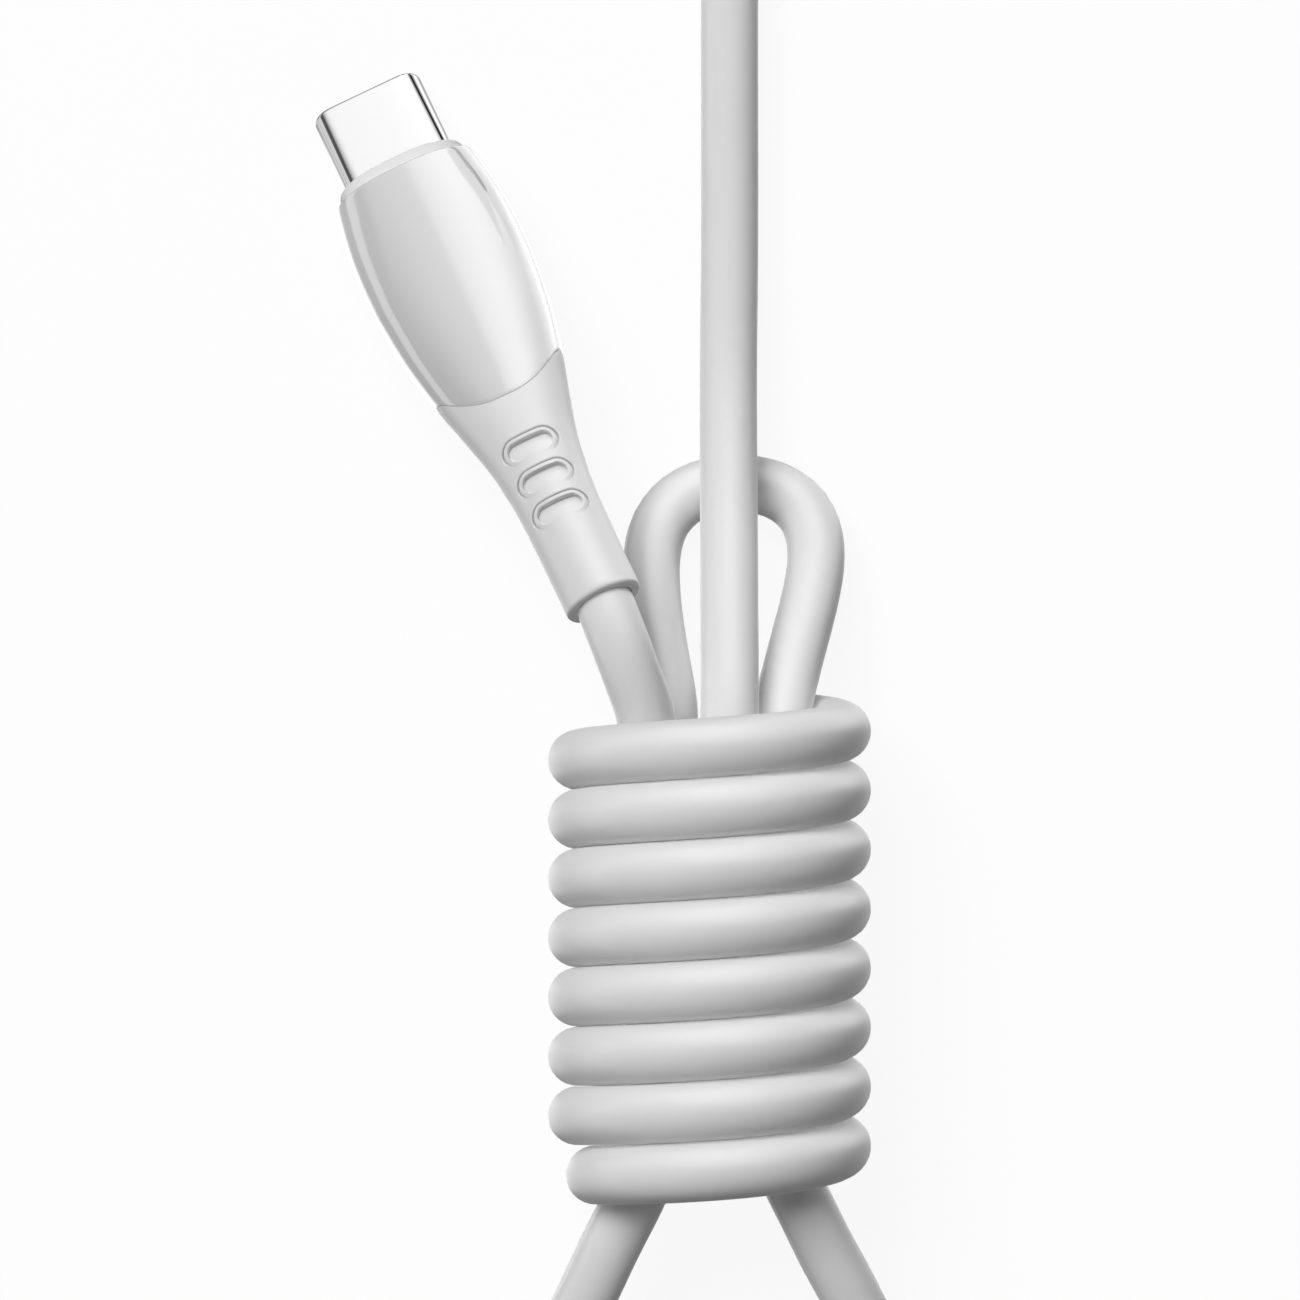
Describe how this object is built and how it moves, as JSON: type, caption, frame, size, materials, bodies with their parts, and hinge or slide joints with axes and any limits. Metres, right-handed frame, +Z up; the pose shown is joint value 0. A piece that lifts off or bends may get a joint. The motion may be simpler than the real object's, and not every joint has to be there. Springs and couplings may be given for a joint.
{
  "type": "charging cable",
  "caption": "Charging cable with a USB-C plug and a USB-A plug, its round white cord wound round its own doubled bundle for storage.",
  "frame": {"origin": "centre of the bounding box in plan, on the table that the wound cable lies on", "axes": "+Z up from the table; +Y along the winding's axis and the cable's longest side, towards the USB-A plug; +X across, away from the USB-C plug"},
  "size_m": [0.0564, 0.2119, 0.0229],
  "materials": {
    "polished_steel": "polished nickel-plated steel",
    "sheet_steel": "plain bright sheet",
    "gold_plating": "gold-plated spring strip",
    "black_nylon": "moulded, satin",
    "white_nylon": "moulded, satin",
    "board_laminate": "green solder mask",
    "resistor_body": "ceramic chip",
    "inner_white": "moulded, satin",
    "collar_grey": "fine matt",
    "gloss_white": "polished, with a clear outer layer",
    "soft_white": "satin thermoplastic elastomer",
    "cord_white": "satin thermoplastic elastomer jacket",
    "wire_red": "insulation",
    "wire_black": "insulation",
    "wire_green": "insulation",
    "wire_white": "insulation"
  },
  "bodies": {
    "root": {"usb_c_shell": "polished_steel", "usb_c_front_insulator": "black_nylon", "usb_c_rear_insulator": "black_nylon", "usb_c_upper_contacts": "gold_plating", "usb_c_lower_contacts": "gold_plating", "usb_c_latch_plate": "sheet_steel", "usb_c_upper_ground_spring": "sheet_steel", "usb_c_lower_ground_spring": "sheet_steel", "usb_c_circuit_board": "board_laminate", "usb_c_resistor": "resistor_body", "usb_c_inner_mould": "inner_white", "usb_c_collar": "collar_grey", "usb_c_sleeve": "gloss_white", "usb_c_boot": "soft_white", "usb_c_crimp_ferrule": "sheet_steel", "usb_c_power_wire": "wire_red", "usb_c_ground_wire": "wire_black", "usb_c_data_plus_wire": "wire_green", "usb_c_data_minus_wire": "wire_white", "usb_a_shell": "polished_steel", "usb_a_tongue": "white_nylon", "usb_a_contacts": "gold_plating", "usb_a_rear_shield": "sheet_steel", "usb_a_inner_mould": "inner_white", "usb_a_collar": "collar_grey", "usb_a_sleeve": "gloss_white", "usb_a_boot": "soft_white", "usb_a_crimp_ferrule": "sheet_steel", "usb_a_power_wire": "wire_red", "usb_a_ground_wire": "wire_black", "usb_a_data_plus_wire": "wire_green", "usb_a_data_minus_wire": "wire_white", "wound_coil": "cord_white", "cord_to_plug": "cord_white", "cord_top_loop": "cord_white", "cord_lower_loop_1": "cord_white", "cord_lower_loop_2": "cord_white", "cord_tail": "cord_white"}
  },
  "joints": []
}
